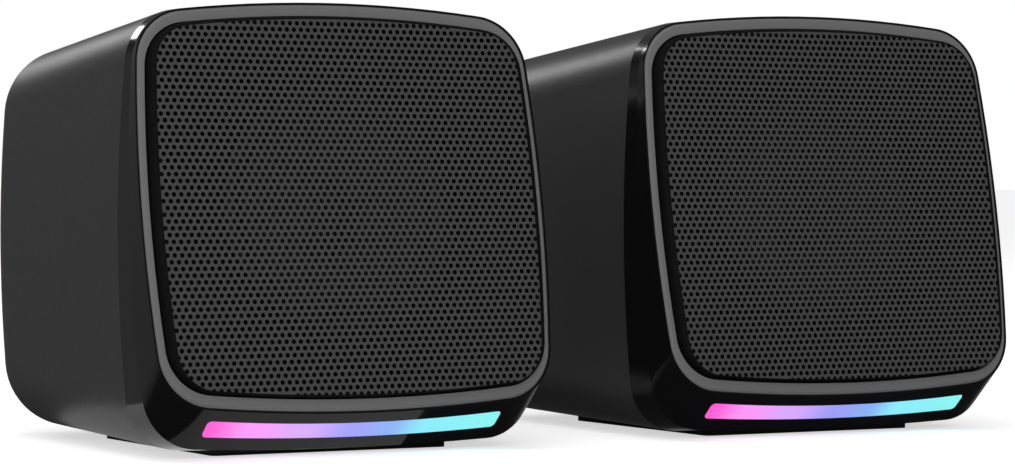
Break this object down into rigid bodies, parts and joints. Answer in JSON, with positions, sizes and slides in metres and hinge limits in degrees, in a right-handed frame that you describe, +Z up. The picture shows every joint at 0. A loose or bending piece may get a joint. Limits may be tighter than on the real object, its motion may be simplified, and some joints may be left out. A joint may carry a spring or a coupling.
{
  "type": "desktop speakers",
  "caption": "Near-cubic desktop speakers with leaning perforated grilles, gloss fronts with light bars, full-range drivers, and a volume knob and light button on the back.",
  "frame": {"origin": "bottom centre of the pair's bounding box, on the desk", "axes": "+X to the right as seen from the front, fronts face -Y, +Z up"},
  "size_m": [0.2334, 0.1218, 0.1028],
  "materials": {
    "housing_plastic": "fine matt moulded texture",
    "frame_gloss": "polished black",
    "rim_paint": "satin grey",
    "grille_paint": "matt powder coat on perforated sheet",
    "diffuser": "clear frosted plastic, lit from behind in a row of colours",
    "foot_rubber": "matt",
    "gland_rubber": "matt",
    "circuit_board": "solder resist",
    "led_body": "white",
    "components": "bare and sleeved",
    "screw_steel": "black zinc",
    "basket_steel": "black paint",
    "plate_steel": "zinc plated",
    "ferrite": "ground ferrite",
    "coil_copper": "enamelled wire",
    "cone_paper": "pressed paper",
    "dust_cap_paper": "pressed paper",
    "surround_rubber": "satin",
    "spider_cloth": "impregnated cloth",
    "gasket_foam": "closed foam",
    "tag_board": "bakelised paper with tinned tags",
    "knob_plastic": "satin",
    "shaft_metal": "turned",
    "pot_case": "pressed steel",
    "button_plastic": "satin",
    "switch_case": "moulded",
    "plunger_plastic": "moulded"
  },
  "bodies": {
    "left_speaker": {"left_front_frame": "frame_gloss", "left_rim_trim": "rim_paint", "left_grille": "grille_paint", "left_light_diffuser": "diffuser", "left_led_board": "circuit_board", "left_leds": "led_body", "left_led_board_screws": "screw_steel", "left_housing": "housing_plastic", "left_housing_screws": "screw_steel", "left_foot_pad": "foot_rubber", "left_lead_gland": "gland_rubber", "left_driver_basket": "basket_steel", "left_driver_gasket": "gasket_foam", "left_driver_screws": "screw_steel", "left_terminal_strip": "tag_board", "left_top_plate": "plate_steel", "left_magnet": "ferrite", "left_yoke": "plate_steel", "left_surround": "surround_rubber", "left_spider": "spider_cloth"},
    "right_speaker": {"right_front_frame": "frame_gloss", "right_rim_trim": "rim_paint", "right_grille": "grille_paint", "right_light_diffuser": "diffuser", "right_led_board": "circuit_board", "right_leds": "led_body", "right_led_board_screws": "screw_steel", "right_housing": "housing_plastic", "right_housing_screws": "screw_steel", "right_foot_pad": "foot_rubber", "right_lead_gland": "gland_rubber", "right_driver_basket": "basket_steel", "right_driver_gasket": "gasket_foam", "right_driver_screws": "screw_steel", "right_terminal_strip": "tag_board", "right_top_plate": "plate_steel", "right_magnet": "ferrite", "right_yoke": "plate_steel", "right_surround": "surround_rubber", "right_spider": "spider_cloth", "right_amplifier_board": "circuit_board", "right_board_components": "components", "right_board_screws": "screw_steel", "right_volume_pot": "pot_case", "right_light_switch": "switch_case"},
    "left_cone_assembly": {"left_cone": "cone_paper", "left_dust_cap": "dust_cap_paper", "left_voice_coil": "coil_copper"},
    "right_cone_assembly": {"right_cone": "cone_paper", "right_dust_cap": "dust_cap_paper", "right_voice_coil": "coil_copper"},
    "volume_control": {"right_volume_shaft": "shaft_metal", "right_volume_knob": "knob_plastic"},
    "light_control": {"right_light_button": "button_plastic", "right_switch_plunger": "plunger_plastic"}
  },
  "joints": [
    {"name": "right_speaker_placing", "type": "slide", "parent": "left_speaker", "child": "right_speaker", "axis": [1, 0, 0], "range_m": [-0.02, 0.12]},
    {"name": "left_cone_travel", "type": "slide", "parent": "left_speaker", "child": "left_cone_assembly", "axis": [0, -0.9836, 0.1805], "range_m": [-0.0015, 0.0015], "stiffness_N_per_m": 900, "deforming": ["left_surround", "left_spider"]},
    {"name": "right_cone_travel", "type": "slide", "parent": "right_speaker", "child": "right_cone_assembly", "axis": [0, -0.9836, 0.1805], "range_m": [-0.0015, 0.0015], "stiffness_N_per_m": 900, "deforming": ["right_surround", "right_spider"]},
    {"name": "volume_turn", "type": "hinge", "parent": "right_speaker", "child": "volume_control", "pos_m": [0.0796, 0.05031, 0.062], "axis": [0, -1, 0], "range_deg": [-150, 150]},
    {"name": "light_button_press", "type": "slide", "parent": "right_speaker", "child": "light_control", "axis": [0, -1, 0], "range_m": [0, 0.0012], "stiffness_N_per_m": 800}
  ]
}
